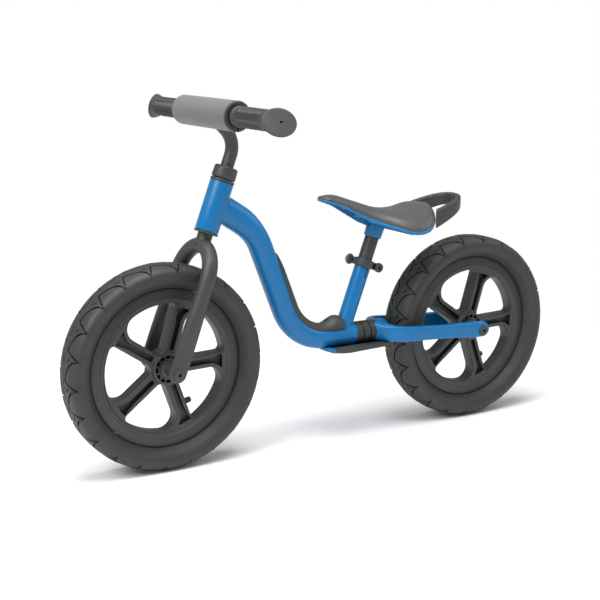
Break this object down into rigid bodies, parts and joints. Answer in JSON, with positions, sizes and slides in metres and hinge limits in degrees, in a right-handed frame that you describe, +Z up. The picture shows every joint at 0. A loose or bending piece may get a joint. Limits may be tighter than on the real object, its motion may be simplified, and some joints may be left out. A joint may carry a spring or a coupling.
{
  "type": "balance bike",
  "caption": "Toddler's running bike with no pedals: bent main tube, solid tyres on spoked plastic wheels, padded bar, adjustable saddle with a carry handle.",
  "frame": {"origin": "on the ground, midway between the two axles", "axes": "+X forward, +Y to the rider's left, +Z up"},
  "size_m": [0.86, 0.412, 0.5359],
  "materials": {
    "blue_paint": "gloss",
    "blue_plastic": "satin",
    "black_paint": "matt",
    "black_plastic": "matt",
    "grey_lever": "satin",
    "rubber": "matt",
    "tyre": "matt",
    "cushion": "satin",
    "foam": "matt",
    "steel": "satin"
  },
  "bodies": {
    "frame": {"main_tube": "blue_paint", "head_tube": "blue_paint", "seat_tube": "blue_paint", "tail_tube": "blue_paint", "rear_yoke": "blue_paint", "stay_left": "blue_paint", "stay_right": "blue_paint", "headset_cup_lower": "black_plastic", "headset_cup_upper": "black_plastic", "headset_bearing_lower": "steel", "headset_bearing_upper": "steel", "band_ring_front": "rubber", "band_ring_middle": "rubber", "band_ring_rear": "rubber", "frame_pad": "rubber", "footrest_base": "blue_paint", "footrest_pad_left": "rubber", "footrest_pad_right": "rubber", "seat_clamp": "black_paint", "clamp_skewer": "steel", "clamp_barrel_nut": "black_paint", "rear_axle": "steel", "rear_spacer_left": "black_plastic", "rear_spacer_right": "black_plastic", "rear_bolt_left": "black_paint", "rear_bolt_right": "black_paint"},
    "clamp_lever": {"clamp_lever": "grey_lever"},
    "seat": {"seat_post": "black_paint", "saddle_shell": "blue_plastic", "saddle_cushion": "cushion", "carry_handle": "black_plastic"},
    "fork": {"fork_crown": "black_paint", "fork_leg_left": "black_paint", "fork_leg_right": "black_paint", "steerer": "black_paint", "stem_clamp": "black_paint", "stem_clamp_bolt": "steel", "front_axle": "steel", "front_spacer_left": "black_plastic", "front_spacer_right": "black_plastic", "front_bolt_left": "black_paint", "front_bolt_right": "black_paint"},
    "handlebar": {"handlebar_stem": "black_paint", "stem_quill": "black_paint", "handlebar_bar": "black_paint", "bar_pad": "foam", "grip_left": "rubber", "grip_right": "rubber"},
    "front_wheel": {"front_tyre": "tyre", "front_rim": "black_plastic", "front_valve": "rubber", "front_bearing_left": "steel", "front_bearing_right": "steel"},
    "rear_wheel": {"rear_tyre": "tyre", "rear_rim": "black_plastic", "rear_valve": "rubber", "rear_bearing_left": "steel", "rear_bearing_right": "steel"}
  },
  "joints": [
    {"name": "steering", "type": "hinge", "parent": "frame", "child": "fork", "pos_m": [0.278, 0, 0.15203], "axis": [-0.342, 0, 0.9397], "continuous": true},
    {"name": "handlebar_height", "type": "slide", "parent": "fork", "child": "handlebar", "axis": [-0.342, 0, 0.9397], "range_m": [-0.015, 0.035]},
    {"name": "front_wheel_spin", "type": "hinge", "parent": "fork", "child": "front_wheel", "pos_m": [0.278, 0, 0.15203], "axis": [0, 1, 0], "continuous": true},
    {"name": "rear_wheel_spin", "type": "hinge", "parent": "frame", "child": "rear_wheel", "pos_m": [-0.278, 0, 0.15203], "axis": [0, 1, 0], "continuous": true},
    {"name": "seat_height", "type": "slide", "parent": "frame", "child": "seat", "axis": [-0.342, 0, 0.9397], "range_m": [-0.025, 0.05]},
    {"name": "clamp_lever_open", "type": "hinge", "parent": "frame", "child": "clamp_lever", "pos_m": [-0.0898, -0.0185, 0.2674], "axis": [0.342, 0, -0.9397], "range_deg": [0, 150]}
  ]
}
